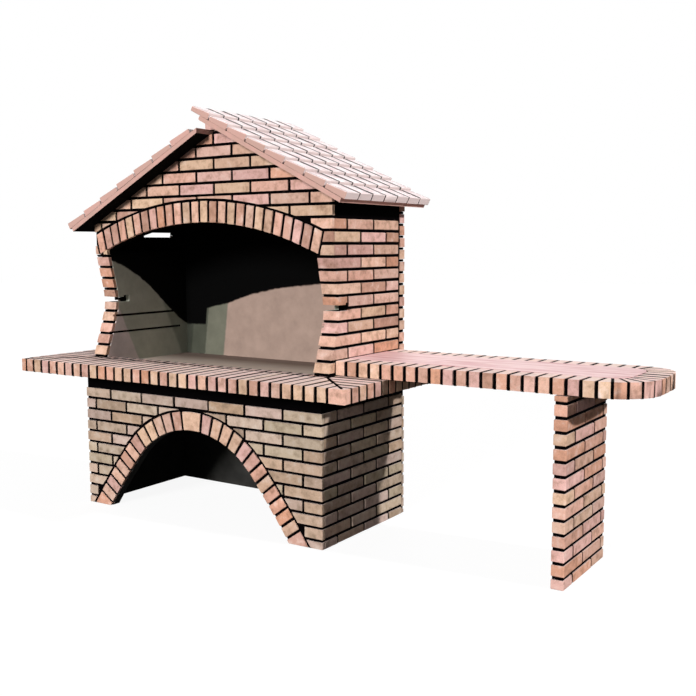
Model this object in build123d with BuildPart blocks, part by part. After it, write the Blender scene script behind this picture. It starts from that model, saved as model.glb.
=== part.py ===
from build123d import *
import math
import os

# Outdoor masonry barbecue: a brick-faced base with an arched wood store, a brick-rimmed counter,
# a firebox with concave jambs, a segmental lintel arch and a tiled gable roof, and a side table on a pier.
# Millimetres, +Z up, +X to the side table, front towards -Y.
# The origin is at the middle of the overall box, on the ground.

os.makedirs("parts", exist_ok=True)

# Bricks and joints
brick_height = 50
brick_width = 107
joint = 12
slip = 22                 # thickness of a facing brick
pointing_recess = 6       # how far the mortar lies back from the brick face
top_recess = 2            # and how far on the counter's and the table's top
smallest_cut = 20         # no facing brick is cut shorter than this
overrun = 30              # how far a cutting tool runs past what it cuts

# Base
base_width = 1615
base_depth = 772
base_height = 755
base_front_core = 44
base_side_core = 18
base_first_brick = 38     # cut course on the ground
base_band = 91            # bare mortar band under the counter
base_back_first_brick = 23
arch_rise = 491
arch_crown_radius = 505
arch_crown_angle = 50     # half angle of the round crown, degrees
arch_half_span = 623
arch_shift = 20           # how far left of the base's middle the arch's crown lies
arch_foot_share = 0.5     # how much of the lowest arch brick shows above the ground
ring_depth = 99
ring_joint = 12
arch_side_count = 13
keystone_width = 130

# Counter
counter_thickness = 72
counter_slab_thickness = 50
hearth_slab_thickness = 15
counter_rim = 276
counter_front_overhang = 219
rim_brick = 51.5
rim_joint = 12
rim_first_brick = 34      # cut brick at the counter's left front corner
rim_smallest_cut = 30
threshold_depth = 50      # short row of bricks between the rim and the hearth
hearth_drop = 37          # the hearth lies this much lower than the rim

# Firebox
gable_set_back = 97       # how far the gable stands back from the base front
gable_bond_shift = 18     # the gable's end bricks are this much longer
side_bond_shift = 19      # and so are the first bricks of the firebox sides
firebox_core = 48
lining = 25
back_brick = 25
back_core = 25
jamb_foot_forward = 37    # the foot of each jamb stands this far in front of the gable
jamb_waist_depth = 64     # its waist, before rounding, lies this far behind the gable
jamb_waist_height = 298
jamb_waist_radius = 270
jamb_courses = 9
lintel_seat = 18          # height of the springing above the last jamb bed
lintel_rise = 148
lintel_depth = 110
lintel_reach = 38         # how far the lintel runs over the jambs, on average
lintel_shift = 24         # how far left of the opening's middle the lintel's crown lies
lintel_fan_share = 0.6    # its joints lean this much of the arch's own turn
lintel_count = 26
firebox_band_right = 113  # bare mortar band under the right eave
firebox_band_left = 45
back_course_drop = 15     # the back's courses lie this much lower than the sides'
groove_height = 12
groove_depth = 12
groove_lower = 128        # bottom of the lower grate groove above the counter top
groove_upper = 222
groove_lower_back_gap = 59
groove_upper_back_gap = 116
spit_slot_height = 27
spit_slot_depth = 153     # from the gable front to the inner end of the spit slot
spit_slot_level = 304     # bottom of the spit slot above the counter top
spit_hook_height = 10
spit_hook_length = 40
damper_slot_height = 28
damper_slot_length = 282
damper_slot_level = 669   # bottom of the damper slot above the counter top
damper_slot_back_gap = 35

# Roof
roof_pitch = 27
eave_left_rise = 733      # underside of the left slope at the wall's outer face, above the counter top
eave_right_rise = 863
roof_slab = 22
slab_overhang_left = 66   # horizontal run of the slab past the wall's outer face
slab_overhang_right = 106
left_gable_rise = 1197    # the left slope of the gable is cut level here, above the counter top
left_slab_run = 866       # run of the left slab from the wall's outer face to its plumb end
right_slab_run = 735      # run of the right slab from the wall's outer face to the ridge
gable_plumb_run = 778     # run from the right wall's outer face to the gable's plumb edge
roof_back_overhang = 10
slab_end_radius = 9
tile_nose = 36            # thickness of a tile and its bed at its low end
tile_tail = 25
tile_rows_left = 7
tile_rows_right = 8
tile_drip = 18            # the first tile reaches this far past the slab
tile_ridge_overhang = 72  # the last tile on the right slope reaches this far past its slab
tile_width = 106
tile_gap = 7

# Side table
table_length = 1474
table_depth = 595
table_set_back = 115      # behind the base front
table_thickness = 72
table_slab_thickness = 50
table_corner = 209
table_rim = 119
table_end_bricks = 13
inlay_joint = 3
inlay_front_share = 0.45  # the front inlay slab's part of the field
pier_thickness = 60
pier_depth = 517
pier_in = 326             # from the table's round end to the pier's outer face
pier_first_brick = 44

# Levels and places
brick_length = 2 * brick_width + joint
course = brick_height + joint
pointing = slip - pointing_recess
rim_pitch = rim_brick + rim_joint
counter_top = base_height + counter_thickness
counter_slab_top = base_height + counter_slab_thickness
hearth_top = counter_top - hearth_drop
hearth_bed = hearth_top - hearth_slab_thickness
table_top = counter_top + table_thickness
table_bed = counter_top + table_slab_thickness
total_length = counter_rim + base_width + table_length
total_depth = counter_front_overhang + base_depth + roof_back_overhang
right_face = total_length / 2 - table_length
left_face = right_face - base_width
middle = (left_face + right_face) / 2
half_width = base_width / 2
front_face = counter_front_overhang - total_depth / 2
back_face = front_face + base_depth
roof_back = back_face + roof_back_overhang
gable_face = front_face + gable_set_back
gable_core_front = gable_face + slip
gable_back = gable_core_front + firebox_core
jamb_top = counter_top + jamb_courses * course + joint / 2
springing = counter_top + jamb_courses * course + joint + lintel_seat
wall = slip + firebox_core + lining
clear_half = half_width - wall
back_inside = back_face - back_brick - back_core
eave_left = counter_top + eave_left_rise
eave_right = counter_top + eave_right_rise
left_gable_level = counter_top + left_gable_rise
hearth_half = clear_half + lining
hearth_back = back_inside + back_core
pitch_tan = math.tan(math.radians(roof_pitch))
pitch_cos = math.cos(math.radians(roof_pitch))
pitch_sin = math.sin(math.radians(roof_pitch))


# Helpers for outlines and walls

def save(piece, label):
    """Name a finished piece and write it."""
    piece.part.label = label
    export_step(piece.part, f"parts/{label}.step")
    print(label, len(piece.part.solids()))


def polygon_sketch(points):
    """Flat sketch of a polygon given by its corners."""
    with BuildSketch(Plane.XY, mode=Mode.PRIVATE) as flat:
        Polygon(*points, align=None)
    return flat.sketch


def line_sketch(line):
    """Flat sketch of the area inside a closed line."""
    with BuildSketch(Plane.XY, mode=Mode.PRIVATE) as flat:
        make_face(line.edges())
    return flat.sketch


def rectangles_sketch(rectangles):
    """Flat sketch of rectangles given as (start, end, low, high)."""
    with BuildSketch(Plane.XY, mode=Mode.PRIVATE) as flat:
        for start, end, low, high in rectangles:
            with Locations(((start + end) / 2, (low + high) / 2)):
                Rectangle(end - start, high - low)
    return flat.sketch


def combined(first, *others, mode=Mode.SUBTRACT):
    """One flat sketch with others cut from it, or joined or intersected."""
    with BuildSketch(Plane.XY, mode=Mode.PRIVATE) as flat:
        add(first)
        for other in others:
            add(other, mode=mode)
    return flat.sketch


def whole_bricks(rectangles, region):
    """Bricks of a wall cut to a region, without slivers too small to lay."""
    cut = combined(rectangles_sketch(rectangles), region, mode=Mode.INTERSECT)
    return Sketch() + [face for face in cut.faces() if face.area > smallest_cut * smallest_cut]


def box_points(start, end, low, high):
    """Corners of a rectangle."""
    return [(start, low), (end, low), (end, high), (start, high)]


def block(low_corner, high_corner, mode=Mode.ADD):
    """Box between two corners in the open part."""
    centre = [(a + b) / 2 for a, b in zip(low_corner, high_corner)]
    size = [b - a for a, b in zip(low_corner, high_corner)]
    with Locations(tuple(centre)):
        Box(*size, mode=mode)


def rows_between(bottom, top, first_brick):
    """Low and high edge of each course between two levels."""
    rows = []
    low = bottom
    high = bottom + first_brick
    while low < top:
        rows.append((low, min(high, top)))
        low = high + joint
        high = low + brick_height
    return rows


def bond(length, first_brick):
    """Spans of the bricks in one course of running bond."""
    spans = []
    start = 0
    end = first_brick
    while start < length:
        if length - end < joint + smallest_cut:
            end = length
        spans.append((start, end))
        start = end + joint
        end = start + brick_length
    return spans


def wall_rectangles(start, end, rows, first_bricks, from_end=False):
    """Facing bricks of a wall; first_bricks are the leading bricks of even and odd courses."""
    rectangles = []
    for number, (low, high) in enumerate(rows):
        for near, far in bond(end - start, first_bricks[number % 2]):
            if from_end:
                rectangles.append((end - far, end - near, low, high))
            else:
                rectangles.append((start + near, start + far, low, high))
    return rectangles


def front_plane(y):
    """Plane facing the front: x to the right from the middle of the base, y up."""
    return Plane(origin=(middle, y, 0), x_dir=(1, 0, 0), z_dir=(0, -1, 0))


def side_plane(x):
    """Plane facing the right: x towards the back, y up."""
    return Plane(origin=(x, 0, 0), x_dir=(0, 1, 0), z_dir=(1, 0, 0))


def make_layer(label, plane, flat, outwards, inwards=0):
    """Piece from a flat sketch on a plane, some way out of it and some way in."""
    with BuildPart() as piece:
        with BuildSketch(plane):
            add(flat)
        extrude(amount=outwards)
        if inwards:
            with BuildSketch(plane):
                add(flat)
            extrude(amount=-inwards)
    save(piece, label)


# Base arch: a round crown and tangent legs that bend very little

crown_turn = math.radians(arch_crown_angle)
leg_start_x = arch_crown_radius * math.sin(crown_turn)
leg_start_z = arch_rise - arch_crown_radius * (1 - math.cos(crown_turn))
leg_chord = math.hypot(arch_half_span - leg_start_x, leg_start_z)
leg_turn = 2 * (math.atan2(leg_start_z, arch_half_span - leg_start_x) - crown_turn)
leg_radius = leg_chord / 2 / math.sin(leg_turn / 2)
crown_length = crown_turn * arch_crown_radius
arch_length = crown_length + leg_turn * leg_radius
buried_length = arch_length + ring_depth


def arch_point(distance, depth):
    """Point on the arch's right half: distance along the intrados from the crown, depth outside it."""
    if distance <= crown_length:
        angle = distance / arch_crown_radius
        radius = arch_crown_radius
        x = 0
        z = arch_rise - arch_crown_radius
    else:
        angle = crown_turn + (distance - crown_length) / leg_radius
        radius = leg_radius
        x = leg_start_x - leg_radius * math.sin(crown_turn)
        z = leg_start_z - leg_radius * math.cos(crown_turn)
    return x + (radius + depth) * math.sin(angle), z + (radius + depth) * math.cos(angle)


def arch_place(distance, depth, side=1):
    """The same point on the right (1) or left (-1) half, measured from the base's middle."""
    x, z = arch_point(distance, depth)
    return side * x - arch_shift, z


def arch_region(depth):
    """Flat region inside the arch line at a depth outside the intrados, going on below the ground."""
    with BuildLine() as line:
        for side in (1, -1):
            for begin, end in ((0, crown_length), (crown_length, buried_length)):
                ThreePointArc(*[arch_place(begin + (end - begin) * part, depth, side) for part in (0, 1 / 2, 1)])
        Line(arch_place(buried_length, depth), arch_place(buried_length, depth, -1))
    return line_sketch(line)


def voussoir(begin, end, side):
    """Flat arch brick between two distances from the crown."""
    corners = [(begin, 0), (end, 0), (end, ring_depth), (begin, ring_depth)]
    return polygon_sketch([arch_place(distance, depth, side) for distance, depth in corners])


def keystone_sketch():
    """Flat keystone with its curved ends."""
    inner_right, inner_left = arch_place(key_half, 0), arch_place(key_half, 0, -1)
    outer_right, outer_left = arch_place(key_half, ring_depth), arch_place(key_half, ring_depth, -1)
    with BuildLine() as line:
        ThreePointArc(inner_left, arch_place(0, 0), inner_right)
        Line(inner_right, outer_right)
        ThreePointArc(outer_right, arch_place(0, ring_depth), outer_left)
        Line(outer_left, inner_left)
    return line_sketch(line)


base_face_flat = polygon_sketch(box_points(-half_width, half_width, 0, base_height))
arch_extrados = arch_region(ring_depth + ring_joint)
key_half = arch_crown_radius * math.asin(keystone_width / 2 / (arch_crown_radius + ring_depth))
voussoir_pitch = (arch_length - key_half) / (arch_side_count - 1 + arch_foot_share)
arch_spans = [(key_half + number * voussoir_pitch + ring_joint, key_half + (number + 1) * voussoir_pitch)
              for number in range(arch_side_count)]
arch_spans[-1] = (arch_spans[-1][0], buried_length)
arch_voussoirs = combined(*[voussoir(begin, end, side) for side in (1, -1) for begin, end in arch_spans],
                          mode=Mode.ADD)
arch_voussoirs = combined(arch_voussoirs, base_face_flat, mode=Mode.INTERSECT)
arch_keystone = keystone_sketch()
arch_mortar = combined(arch_extrados, arch_region(pointing_recess), arch_voussoirs, arch_keystone)
arch_mortar = combined(arch_mortar, base_face_flat, mode=Mode.INTERSECT)

# Base panels and the brick slips of the arch

base_front_plane = front_plane(front_face + slip)
side_core_front = front_face + slip + base_front_core
side_core_back = back_face - slip - base_side_core
core_left = left_face + slip
core_right = right_face - slip
base_core_flat = polygon_sketch(box_points(-half_width + slip, half_width - slip, 0, base_height))

make_layer("base_front_panel", base_front_plane, combined(base_core_flat, arch_region(0)), -base_front_core)
make_layer("base_arch_bricks", base_front_plane, arch_voussoirs, slip)
make_layer("base_arch_keystone", base_front_plane, arch_keystone, slip)
make_layer("base_arch_pointing", base_front_plane, arch_mortar, pointing)

with BuildPart() as base_left_panel:
    block((core_left, side_core_front, 0), (core_left + base_side_core, side_core_back, base_height))
save(base_left_panel, "base_left_panel")

with BuildPart() as base_right_panel:
    block((core_right - base_side_core, side_core_front, 0), (core_right, side_core_back, base_height))
save(base_right_panel, "base_right_panel")

with BuildPart() as base_back_panel:
    block((core_left, side_core_back, 0), (core_right, back_face - slip, base_height))
save(base_back_panel, "base_back_panel")

# Base facings: the front and back run over the ends of the sides

base_rows = rows_between(0, base_height - base_band, base_first_brick)
base_back_rows = rows_between(0, base_height - base_band - back_course_drop, base_back_first_brick)
end_inset = half_width - pointing_recess
base_sheet = polygon_sketch(box_points(-end_inset, end_inset, 0, base_height))
base_side_flat = polygon_sketch(box_points(front_face + slip, back_face - slip, 0, base_height))

front_flat = whole_bricks(wall_rectangles(-half_width, half_width, base_rows,
                                          (brick_length, brick_width), True),
                          combined(base_face_flat, arch_extrados))
make_layer("base_front_bricks", base_front_plane, front_flat, slip)
make_layer("base_front_pointing", base_front_plane, combined(base_sheet, arch_extrados, front_flat), pointing)

back_flat = whole_bricks(wall_rectangles(-half_width, half_width, base_back_rows,
                                         (brick_width, brick_length)), base_face_flat)
make_layer("base_back_bricks", front_plane(back_face - slip), back_flat, -slip)
make_layer("base_back_pointing", front_plane(back_face - slip), combined(base_sheet, back_flat), -pointing)

side_flat = whole_bricks(wall_rectangles(front_face + slip, back_face - slip, base_rows,
                                         (brick_width, brick_length)), base_side_flat)
make_layer("base_right_bricks", side_plane(core_right), side_flat, slip)
make_layer("base_right_pointing", side_plane(core_right), combined(base_side_flat, side_flat), pointing)
make_layer("base_left_bricks", side_plane(core_left), side_flat, -slip)
make_layer("base_left_pointing", side_plane(core_left), combined(base_side_flat, side_flat), -pointing)

# Counter: a slab, a rim of bricks on edge on three sides, a short threshold row, and a sunk hearth

counter_left = left_face - counter_rim
counter_right = right_face + counter_rim
counter_front = front_face - counter_front_overhang
rim_back = counter_front + counter_rim
threshold_front = rim_back + rim_joint
threshold_back = threshold_front + threshold_depth
mitre_joint = rim_joint * math.sqrt(2)


def rim_spans(start, end, first_brick):
    """Spans of bricks on edge along a rim."""
    spans = []
    low = start
    high = start + first_brick
    while low < end:
        if end - high < rim_joint + rim_smallest_cut:
            high = end
        spans.append((low, high))
        low = high + rim_joint
        high = low + rim_brick
    return spans


def cut_counter_slab():
    """Cut the counter slab's space out of the open part."""
    block((counter_left + slip, counter_front + slip, base_height - overrun),
          (counter_right - slip, back_face + overrun, counter_slab_top), mode=Mode.SUBTRACT)


front_spans = rim_spans(counter_left, counter_right, rim_first_brick)
side_spans = rim_spans(counter_front, back_face, rim_brick)
front_zone = polygon_sketch([(counter_left + mitre_joint, counter_front),
                             (counter_right - mitre_joint, counter_front),
                             (right_face - mitre_joint, rim_back), (left_face + mitre_joint, rim_back)])
right_zone = polygon_sketch([(counter_right, counter_front), (counter_right, back_face),
                             (right_face, back_face), (right_face, rim_back)])
left_zone = polygon_sketch([(counter_left, counter_front), (left_face, rim_back),
                            (left_face, back_face), (counter_left, back_face)])
front_tops = combined(rectangles_sketch([(a, b, counter_front, rim_back) for a, b in front_spans]),
                      front_zone, mode=Mode.INTERSECT)
right_tops = combined(rectangles_sketch([(right_face, counter_right, a, b) for a, b in side_spans]),
                      right_zone, mode=Mode.INTERSECT)
left_tops = combined(rectangles_sketch([(counter_left, left_face, a, b) for a, b in side_spans]),
                     left_zone, mode=Mode.INTERSECT)
threshold_spans = [(max(a, left_face), min(b, right_face)) for a, b in front_spans
                   if b - left_face > smallest_cut and right_face - a > smallest_cut]
threshold_tops = rectangles_sketch([(a, b, threshold_front, threshold_back) for a, b in threshold_spans])
corner_tops = rectangles_sketch([(start, start + slip, counter_front, counter_front + slip)
                                 for start in (counter_left, counter_right - slip)])
rim_tops = combined(front_tops, right_tops, left_tops, threshold_tops, corner_tops, mode=Mode.ADD)
rim_field = polygon_sketch([(counter_left + pointing_recess, counter_front + pointing_recess),
                            (counter_right - pointing_recess, counter_front + pointing_recess),
                            (counter_right - pointing_recess, back_face), (right_face, back_face),
                            (right_face, threshold_back), (left_face, threshold_back),
                            (left_face, back_face), (counter_left + pointing_recess, back_face)])

with BuildPart() as counter_slab:
    block((counter_left + slip, counter_front + slip, base_height),
          (counter_right - slip, back_face, counter_slab_top))
    block((middle - hearth_half, threshold_back, hearth_bed),
          (middle + hearth_half, hearth_back, counter_slab_top + overrun), mode=Mode.SUBTRACT)
save(counter_slab, "counter_slab")

with BuildPart() as counter_rim_bricks:
    with BuildSketch(Plane.XY.offset(base_height)):
        add(rim_tops)
    extrude(amount=counter_thickness)
    cut_counter_slab()
save(counter_rim_bricks, "counter_rim_bricks")

with BuildPart() as counter_rim_pointing:
    with BuildSketch(Plane.XY.offset(base_height)):
        add(combined(rim_field, rim_tops))
    extrude(amount=counter_thickness - top_recess)
    cut_counter_slab()
save(counter_rim_pointing, "counter_rim_pointing")

with BuildPart() as hearth_slab:
    block((middle - hearth_half, threshold_back, hearth_bed),
          (middle + hearth_half, hearth_back, hearth_top))
save(hearth_slab, "hearth_slab")

with BuildPart() as hearth_curb:
    with BuildSketch(Plane.XY.offset(counter_slab_top)):
        Polygon((left_face, threshold_back), (middle - hearth_half, threshold_back),
                (middle - hearth_half, hearth_back), (middle + hearth_half, hearth_back),
                (middle + hearth_half, threshold_back), (right_face, threshold_back),
                (right_face, back_face), (left_face, back_face), align=None)
    extrude(amount=counter_top - counter_slab_top)
save(hearth_curb, "hearth_curb")

# Jambs: corner slips, one to a course, over a wall front that leans back and then forward to the lintel

jamb_rows = rows_between(counter_top + joint, jamb_top - joint / 2, brick_height)
short_end = gable_face + brick_width + side_bond_shift
long_end = gable_face + brick_length + side_bond_shift
spit_slot_low = counter_top + spit_slot_level
spit_slot_high = spit_slot_low + spit_slot_height
spit_slot_end = gable_face + spit_slot_depth
groove_places = ((counter_top + groove_lower, groove_lower_back_gap),
                 (counter_top + groove_upper, groove_upper_back_gap))


def jamb_region(inset, back):
    """Side view of a jamb, its front set back by an inset, as far as a back plane."""
    waist = (gable_face + jamb_waist_depth + inset, counter_top + jamb_waist_height)
    with BuildSketch(Plane.XY, mode=Mode.PRIVATE) as flat:
        Polygon((gable_face - jamb_foot_forward + inset, counter_top), (back, counter_top),
                (back, springing), (gable_face + inset, springing), waist, align=None)
        fillet(flat.vertices().sort_by_distance((waist[0], waist[1], 0))[:1], radius=jamb_waist_radius)
    return flat.sketch


def row_bands(start, end, rows):
    """Flat bands, one to a course."""
    return rectangles_sketch([(start, end, low, high) for low, high in rows])


def cut_spit_slots():
    """Cut the spit slots, open at the front and hooked at the back, out of the open part."""
    block((left_face - overrun, front_face, spit_slot_low),
          (right_face + overrun, spit_slot_end, spit_slot_high), mode=Mode.SUBTRACT)
    block((left_face - overrun, spit_slot_end - spit_hook_length, spit_slot_low),
          (right_face + overrun, spit_slot_end, spit_slot_high + spit_hook_height), mode=Mode.SUBTRACT)


def cut_grooves():
    """Cut the grate grooves out of the inner faces of the open part."""
    reach = clear_half + groove_depth
    for level, back_gap in groove_places:
        block((middle - reach, front_face, level),
              (middle + reach, back_inside - back_gap, level + groove_height), mode=Mode.SUBTRACT)


def make_jamb(name, outer_face, inward):
    """One jamb's corner slips and mortar; inward is the direction from the outer face to the opening."""
    core_plane = side_plane(outer_face + inward * slip)
    behind = jamb_region(slip, back_inside)
    strips = combined(row_bands(front_face, long_end, jamb_rows[0::2]),
                      row_bands(front_face, short_end, jamb_rows[1::2]), mode=Mode.ADD)
    strips = combined(strips, jamb_region(0, long_end), mode=Mode.INTERSECT)
    with BuildPart() as bricks:
        with BuildSketch(core_plane):
            add(combined(strips, behind))
        extrude(amount=inward * (wall - slip))
        with BuildSketch(core_plane):
            add(strips)
        extrude(amount=-inward * slip)
        cut_spit_slots()
        cut_grooves()
    save(bricks, f"{name}_bricks")
    above = polygon_sketch(box_points(front_face, short_end, jamb_top, springing))
    beds = combined(jamb_region(pointing_recess, short_end),
                    row_bands(front_face, short_end, jamb_rows), above)
    with BuildPart() as mortar:
        with BuildSketch(core_plane):
            add(combined(beds, behind))
        extrude(amount=inward * (wall - slip - pointing_recess))
        with BuildSketch(core_plane):
            add(beds)
        extrude(amount=-inward * pointing)
        cut_spit_slots()
        cut_grooves()
    save(mortar, f"{name}_pointing")


make_jamb("jamb_left", left_face, 1)
make_jamb("jamb_right", right_face, -1)

# Gable and lintel arch


def underside_left(x):
    """Height of the left slope's underside."""
    return eave_left + (x - left_face) * pitch_tan


def underside_right(x):
    """Height of the right slope's underside."""
    return eave_right + (right_face - x) * pitch_tan


left_gable_end = left_face + (left_gable_level - eave_left) / pitch_tan
plumb_edge = right_face - gable_plumb_run


def gable_flat(start, end, bottom):
    """Flat outline of the gable between two side faces, up to both slopes."""
    points = [(start, bottom), (end, bottom), (end, underside_right(end)),
              (plumb_edge, underside_right(plumb_edge)), (plumb_edge, left_gable_level),
              (left_gable_end, left_gable_level), (start, underside_left(start))]
    return polygon_sketch([(x - middle, z) for x, z in points])


lintel_radius = (clear_half * clear_half + lintel_rise * lintel_rise) / (2 * lintel_rise)
lintel_centre = springing + lintel_rise - lintel_radius
lintel_turn = math.asin((clear_half + lintel_reach) / lintel_radius)
lintel_step = 2 * lintel_turn / lintel_count
half_joint_turn = ring_joint / 2 / lintel_radius
seat_turn = lintel_turn + half_joint_turn


def lintel_level(reach, depth):
    """Height of the lintel at a distance from its crown, depth outside the intrados."""
    radius = lintel_radius + depth
    return lintel_centre + math.sqrt(radius * radius - reach * reach)


def lintel_point(angle, depth):
    """Point of the lintel, depth outside the intrados, up a leaning joint that starts at an angle."""
    reach = lintel_radius * math.sin(angle) + depth * math.sin(lintel_fan_share * angle)
    return reach - lintel_shift, lintel_level(reach, depth)


def ring_sector(inner, outer):
    """Flat part of the lintel ring between two depths."""
    inner_points = [lintel_point(angle, inner) for angle in (-seat_turn, 0, seat_turn)]
    outer_points = [lintel_point(angle, outer) for angle in (seat_turn, 0, -seat_turn)]
    with BuildLine() as line:
        ThreePointArc(*inner_points)
        Line(inner_points[2], outer_points[0])
        ThreePointArc(*outer_points)
        Line(outer_points[2], inner_points[0])
    return line_sketch(line)


def mouth_flat(lift):
    """Flat opening under the intrados raised by a lift, down past the jambs' top."""
    left = lintel_level(clear_half - lintel_shift, 0) + lift
    right = lintel_level(clear_half + lintel_shift, 0) + lift
    below = jamb_top - overrun
    with BuildLine() as line:
        ThreePointArc((-clear_half, left), (-lintel_shift, lintel_level(0, 0) + lift), (clear_half, right))
        Polyline((clear_half, right), (clear_half, below), (-clear_half, below), (-clear_half, left))
    return line_sketch(line)


def lintel_brick(number):
    """Flat soldier brick of the lintel."""
    start = -lintel_turn + number * lintel_step + half_joint_turn
    end = -lintel_turn + (number + 1) * lintel_step - half_joint_turn
    corners = [(start, 0), (end, 0), (end, lintel_depth), (start, lintel_depth)]
    return polygon_sketch([lintel_point(angle, depth) for angle, depth in corners])


with BuildPart() as jamb_hollow:
    with BuildSketch(side_plane(left_face - overrun)):
        add(combined(polygon_sketch(box_points(front_face, spit_slot_end, counter_top, springing)),
                     jamb_region(0, spit_slot_end + overrun)))
    extrude(amount=base_width + 2 * overrun)

gable_sheet = gable_flat(left_face + pointing_recess, right_face - pointing_recess, jamb_top)
ring_cut = ring_sector(0, lintel_depth + ring_joint)
mouth = mouth_flat(lintel_depth / 2)
gable_plane = front_plane(gable_core_front)
lintel_flat = combined(*[lintel_brick(number) for number in range(lintel_count)], mode=Mode.ADD)
lintel_mortar = combined(ring_sector(pointing_recess, lintel_depth + ring_joint), lintel_flat)
lintel_mortar = combined(lintel_mortar, gable_sheet, mode=Mode.INTERSECT)

make_layer("gable_core", gable_plane, combined(gable_flat(core_left, core_right, jamb_top), mouth_flat(0)),
           -firebox_core)
make_layer("lintel_arch_bricks", gable_plane, lintel_flat, slip)
make_layer("lintel_arch_pointing", gable_plane, lintel_mortar, pointing)

gable_rows = rows_between(jamb_top + joint / 2, underside_right(plumb_edge), brick_height)
gable_first_bricks = (brick_width + gable_bond_shift, brick_length + gable_bond_shift)
gable_rectangles = wall_rectangles(-half_width, half_width, gable_rows, gable_first_bricks, True)
gable_bricks_flat = whole_bricks(gable_rectangles,
                                 combined(gable_flat(left_face, right_face, jamb_top), mouth, ring_cut))

with BuildPart() as gable_bricks:
    with BuildSketch(gable_plane):
        add(gable_bricks_flat)
    extrude(amount=slip)
    add(jamb_hollow.part, mode=Mode.SUBTRACT)
save(gable_bricks, "gable_bricks")

with BuildPart() as gable_pointing:
    with BuildSketch(gable_plane):
        add(combined(gable_sheet, mouth, ring_cut, gable_bricks_flat))
    extrude(amount=pointing)
    add(jamb_hollow.part, mode=Mode.SUBTRACT)
save(gable_pointing, "gable_pointing")

# Firebox walls

damper_back = back_inside - damper_slot_back_gap
ridge_level = underside_right(plumb_edge)
damper_low = counter_top + damper_slot_level


def cut_damper_slot():
    """Cut the damper slot through the left wall out of the open part."""
    block((left_face - overrun, damper_back - damper_slot_length, damper_low),
          (left_face + wall + overrun, damper_back, damper_low + damper_slot_height), mode=Mode.SUBTRACT)


side_core_flat = combined(jamb_region(slip, back_inside),
                          polygon_sketch(box_points(front_face, back_inside, jamb_top, springing)))
lining_flat = combined(side_core_flat,
                       polygon_sketch(box_points(gable_back, back_inside, jamb_top, springing)),
                       polygon_sketch(box_points(threshold_back, back_inside, hearth_top, counter_top)),
                       mode=Mode.ADD)
back_panel_flat = combined(gable_flat(core_left, core_right, counter_top),
                           polygon_sketch(box_points(-hearth_half, hearth_half, hearth_top, counter_top)),
                           mode=Mode.ADD)


def make_side_panel(name, start, underside):
    """Concrete core of a firebox side wall, up to the slope above it."""
    end = start + firebox_core
    with BuildPart() as panel:
        with BuildSketch(side_plane(start)):
            add(side_core_flat)
        extrude(amount=firebox_core)
        with BuildSketch(front_plane(gable_back)):
            Polygon((start - middle, jamb_top), (end - middle, jamb_top),
                    (end - middle, underside(end)), (start - middle, underside(start)), align=None)
        extrude(amount=gable_back - back_inside)
        cut_spit_slots()
        cut_damper_slot()
    save(panel, name)


make_side_panel("firebox_left_panel", core_left, underside_left)
make_side_panel("firebox_right_panel", core_right - firebox_core, underside_right)
make_layer("firebox_back_panel", front_plane(back_inside), back_panel_flat, -back_core)

for lining_name, start in (("lining_left", core_left + firebox_core),
                           ("lining_right", core_right - firebox_core - lining)):
    with BuildPart() as lining_slab:
        with BuildSketch(side_plane(start)):
            add(lining_flat)
        extrude(amount=lining)
        cut_spit_slots()
        cut_grooves()
    save(lining_slab, lining_name)

# Firebox facings

facing_back = back_inside - joint


def side_bricks_flat(rows):
    """Facing bricks of a firebox side; the jamb already holds the first brick of each low course."""
    rectangles = []
    for number, (low, high) in enumerate(rows):
        first_brick = (brick_length, brick_width)[number % 2] + side_bond_shift
        spans = [(gable_face + near, gable_face + far)
                 for near, far in bond(facing_back - gable_face, first_brick)]
        if high <= jamb_top:
            spans = spans[1:]
        else:
            spans[0] = (gable_core_front, spans[0][1])
        rectangles += [(start, end, low, high) for start, end in spans]
    return rectangles_sketch(rectangles)


def make_side_facing(name, outer_face, inward, eave, band):
    """Facing and mortar of one firebox side."""
    bricks = side_bricks_flat(rows_between(counter_top + joint, eave - band, brick_height))
    sheet = polygon_sketch([(short_end, counter_top), (back_inside, counter_top), (back_inside, eave),
                            (gable_core_front, eave), (gable_core_front, jamb_top), (short_end, jamb_top)])
    long_strips = row_bands(short_end, long_end, jamb_rows[0::2])
    core_plane = side_plane(outer_face + inward * slip)
    with BuildPart() as brick_part:
        with BuildSketch(core_plane):
            add(bricks)
        extrude(amount=-inward * slip)
        if inward > 0:
            cut_damper_slot()
    save(brick_part, f"{name}_bricks")
    with BuildPart() as mortar_part:
        with BuildSketch(core_plane):
            add(combined(sheet, bricks, long_strips))
        extrude(amount=-inward * pointing)
        if inward > 0:
            cut_damper_slot()
    save(mortar_part, f"{name}_pointing")


make_side_facing("firebox_left", left_face, 1, eave_left, firebox_band_left)
make_side_facing("firebox_right", right_face, -1, eave_right, firebox_band_right)

fire_back_rows = rows_between(counter_top, ridge_level, brick_height - back_course_drop)
fire_back_flat = whole_bricks(wall_rectangles(-half_width, half_width, fire_back_rows,
                                              (brick_length, brick_width)),
                              gable_flat(left_face, right_face, counter_top))
fire_back_sheet = gable_flat(left_face + pointing_recess, right_face - pointing_recess, counter_top)


def make_back_layer(label, flat, depth):
    """Layer of the back wall's outside that returns round both corners, up to the side facings."""
    with BuildPart() as layer:
        with BuildSketch(front_plane(back_inside)):
            add(flat)
        extrude(amount=-depth)
        block((core_left, front_face, 0), (core_right, back_face - back_brick, ridge_level + overrun),
              mode=Mode.SUBTRACT)
    save(layer, label)


make_back_layer("firebox_back_bricks", fire_back_flat, back_core + back_brick)
make_back_layer("firebox_back_pointing", combined(fire_back_sheet, fire_back_flat),
                back_core + back_brick - pointing_recess)

# Roof: two slabs, the right one higher so that the smoke leaves under its end, and lapped tiles

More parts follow.
